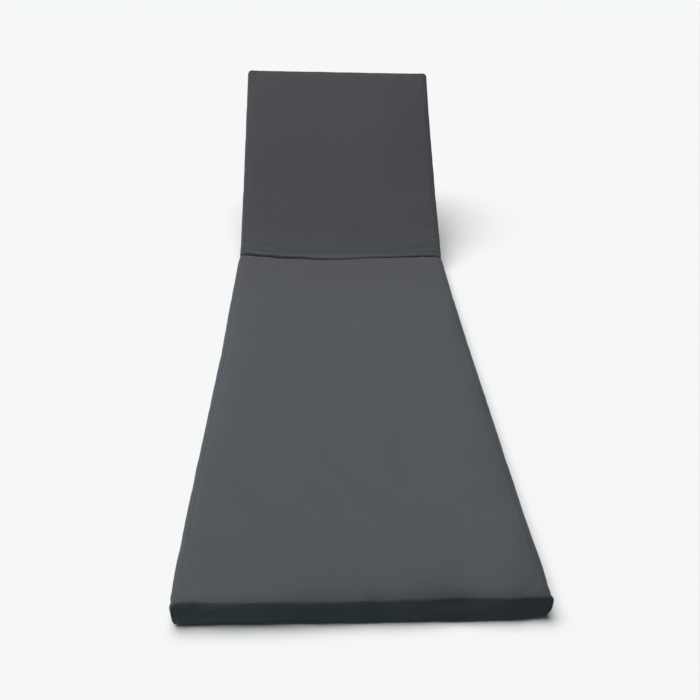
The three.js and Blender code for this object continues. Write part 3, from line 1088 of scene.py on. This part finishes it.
def stitch_holes(tree):
    turns = math_node(tree, "MULTIPLY", mark(tree, "along_seam"), 2 * math.pi / STITCH)
    holes = math_node(tree, "MAXIMUM", math_node(tree, "SINE", turns, 0), 0)
    holes = math_node(tree, "ADD", math_node(tree, "MULTIPLY", holes, HOLE_DARKNESS), SEAM_DARKNESS)
    return math_node(tree, "MULTIPLY", holes, mark(tree, "stitched"))


def colour_strength(tree, cloth, clouds):
    warp = stretched_noise(tree, cloth, THREAD_FINE, THREAD_LONG, THREAD_DETAIL)
    weft = stretched_noise(tree, cloth, THREAD_LONG, THREAD_FINE, THREAD_DETAIL)
    threads = math_node(tree, "MULTIPLY", math_node(tree, "ADD", warp, weft), THREAD_TONE)
    cloudy = math_node(tree, "MULTIPLY", clouds, CLOUD_TONE)
    # Pale lips and the painted highlight of the left edge lighten the colour.
    lightened = math_node(tree, "MULTIPLY", mark(tree, "wear_and_highlight"), WEAR_AND_HIGHLIGHT_TONE)
    varied = math_node(tree, "ADD", threads, cloudy)
    strength = math_node(tree, "ADD", varied, math_node(tree, "ADD", lightened, PLAIN_TONE))
    # Painted shade darkens the colour here.
    strength = darkened(tree, strength, mark(tree, "painted_shade_and_streaks"))
    return darkened(tree, strength, stitch_holes(tree))


print("stitches", STITCH * MM_IN_METRE, "mm long")

# %% [markdown]
# The colour starts from the tone of the seat or the painted shade of the back. The foot band's painted shade
# is multiplied in, and then a faint drift of the dye, which turns the grey slightly warmer or cooler in soft
# patches.

# %% Colour of the cloth
SEAT_COLOUR = (0.0494, 0.0594, 0.0612, 1)
# Painted shade: the back section's darker, warmer grey stands in for the light on its raised, tilted face.
BACK_SHADED_COLOUR = (0.0480, 0.0503, 0.0556, 1)
# Painted shade: the foot band's darker, cooler tone stands in for the shade on the upright foot face.
FOOT_PAINTED_SHADE = (0.43, 0.64, 0.695, 1)
DYE_DRIFT = (1.15, 0.95, 1.075, 1)
DYE_PATCHES = 20
PATCH_DETAIL = 3


def tinted(tree, colour, tint, share):
    inputs = {"Factor": share, "A": colour, "B": tint}
    return add_node(tree, "ShaderNodeMix", inputs, data_type="RGBA", blend_type="MULTIPLY").outputs["Result"]


def cloth_colour(tree, cloth, strength):
    # The back section's painted shade sets in past the fold.
    inputs = {"Factor": mark(tree, "back_shade_share"), "A": SEAT_COLOUR, "B": BACK_SHADED_COLOUR}
    tone = add_node(tree, "ShaderNodeMix", inputs, data_type="RGBA").outputs["Result"]
    # The foot band's painted shade is multiplied in here.
    colour = tinted(tree, tone, FOOT_PAINTED_SHADE, mark(tree, "foot_share"))
    drift = stretched_noise(tree, cloth, DYE_PATCHES, DYE_PATCHES, PATCH_DETAIL)
    colour = tinted(tree, colour, DYE_DRIFT, drift)
    inputs = {0: colour, "Scale": strength}
    return add_node(tree, "ShaderNodeVectorMath", inputs, operation="SCALE").outputs[0]


print("seat colour", SEAT_COLOUR[:3])

# %% [markdown]
# Polyester cloth is matt, with a slight sheen from its fibres that keeps it from looking like rubber when the
# light grazes it. The sheen is the same all over. Only the roughness varies, with the colour's mottling.

# %% Charcoal polyester
MOTTLING = 9
ROUGHNESS, ROUGHNESS_VARIES = 0.8, 0.1
GLOSS = 0.2
SHEEN, SHEEN_ROUGHNESS, SHEEN_TINT = 0.06, 0.5, (0.85, 0.93, 1, 1)
WEAVE_STRENGTH, WEAVE_DEPTH = 0.7, 0.00012


def charcoal_cloth():
    material = bpy.data.materials.new("charcoal_polyester")
    material.use_nodes = True
    tree = material.node_tree
    shader = tree.nodes["Principled BSDF"]
    cloth = add_node(tree, "ShaderNodeUVMap", uv_map="cloth").outputs["UV"]
    mottle = stretched_noise(tree, cloth, MOTTLING, MOTTLING, PATCH_DETAIL)
    strength = colour_strength(tree, cloth, mottle)
    tree.links.new(cloth_colour(tree, cloth, strength), shader.inputs["Base Color"])
    rough = math_node(tree, "ADD", math_node(tree, "MULTIPLY", mottle, ROUGHNESS_VARIES), ROUGHNESS)
    tree.links.new(rough, shader.inputs["Roughness"])
    shader.inputs["Specular IOR Level"].default_value = GLOSS
    shader.inputs["Sheen Weight"].default_value = SHEEN
    shader.inputs["Sheen Roughness"].default_value = SHEEN_ROUGHNESS
    shader.inputs["Sheen Tint"].default_value = SHEEN_TINT
    inputs = {"Height": weave_height(tree, cloth), "Strength": WEAVE_STRENGTH, "Distance": WEAVE_DEPTH}
    bump = add_node(tree, "ShaderNodeBump", inputs)
    tree.links.new(bump.outputs["Normal"], shader.inputs["Normal"])
    return material


cover_mesh.materials.clear()
cover_mesh.materials.append(charcoal_cloth())
print("cloth nodes", len(cover_mesh.materials[0].node_tree.nodes))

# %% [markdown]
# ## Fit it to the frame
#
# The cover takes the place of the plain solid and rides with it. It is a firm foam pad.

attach(cover, "root")
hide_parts("cushion")
print("cover rides on root")

# %% [markdown]
# ## The studio
#
# The floor is pale and matt, so that nothing is mirrored in it. It lies half a millimetre lower than the pad,
# because two surfaces at one height would flicker.

# %% Lay the floor
FLOOR_COLOUR = (0.65, 0.652, 0.65, 1)
FLOOR_HALF = 40
FLOOR_DROP = 0.0005

corners = [(FLOOR_HALF * a, FLOOR_HALF * b, -FLOOR_DROP) for a, b in ((-1, -1), (1, -1), (1, 1), (-1, 1))]
floor_mesh = bpy.data.meshes.new("floor")
floor_mesh.from_pydata(corners, [], [(0, 1, 2, 3)])
floor = bpy.data.objects.new("floor", floor_mesh)
bpy.context.scene.collection.objects.link(floor)

pale = bpy.data.materials.new("pale_floor")
pale.use_nodes = True
floor_shader = pale.node_tree.nodes["Principled BSDF"]
floor_shader.inputs["Base Color"].default_value = FLOOR_COLOUR
floor_shader.inputs["Roughness"].default_value = 1
floor_shader.inputs["Specular IOR Level"].default_value = 0
floor_mesh.materials.append(pale)
print("floor laid")

# %% [markdown]
# One very wide, soft light hangs above, a little to the left and behind the head end, and leaves the upright
# foot end dark. An area light would be brighter near the lamp than at the far end of such a long pad. A sun
# lamp is equally strong everywhere, and its angle makes the shadows soft.

# %% Hang the light
LIGHT_STRENGTH = 4.5
LIGHT_FROM_LEFT = math.radians(14)
LIGHT_FROM_BEHIND = math.radians(14)
LIGHT_WIDTH = math.radians(56)

light = bpy.data.objects.new("wide_light", bpy.data.lights.new("wide_light", "SUN"))
light.data.energy = LIGHT_STRENGTH
light.data.angle = LIGHT_WIDTH
light.matrix_world = Matrix.Rotation(-LIGHT_FROM_LEFT, 4, "Y") @ Matrix.Rotation(-LIGHT_FROM_BEHIND, 4, "X")
bpy.context.scene.collection.objects.link(light)
print("light comes from", np.round(light.matrix_world.col[2][:3], 2).tolist())

# %% [markdown]
# The air around adds a weak, cool light that reaches the foot end. It is dark high above, where the lamp
# shines, and pale near the horizon, where it meets the floor in views from the side.

# %% Fill the air
AIR_HIGH = (0.04, 0.05, 0.054, 1)
AIR_AT_HORIZON = (0.91, 0.925, 0.92, 1)
PALE_UP_TO = 0.03
DARK_FROM = 0.35

world = bpy.data.worlds.new("air")
world.use_nodes = True
bpy.context.scene.world = world
tree = world.node_tree
direction = add_node(tree, "ShaderNodeTexCoord").outputs["Generated"]
height = add_node(tree, "ShaderNodeSeparateXYZ", {0: direction}).outputs["Z"]
ramp = add_node(tree, "ShaderNodeValToRGB", {"Fac": height})
pale_end, dark_end = ramp.color_ramp.elements
pale_end.position, pale_end.color = PALE_UP_TO, AIR_AT_HORIZON
dark_end.position, dark_end.color = DARK_FROM, AIR_HIGH
tree.links.new(ramp.outputs["Color"], tree.nodes["Background"].inputs["Color"])
bpy.context.scene.view_settings.view_transform = "Standard"
print("air high above", AIR_HIGH[:3])
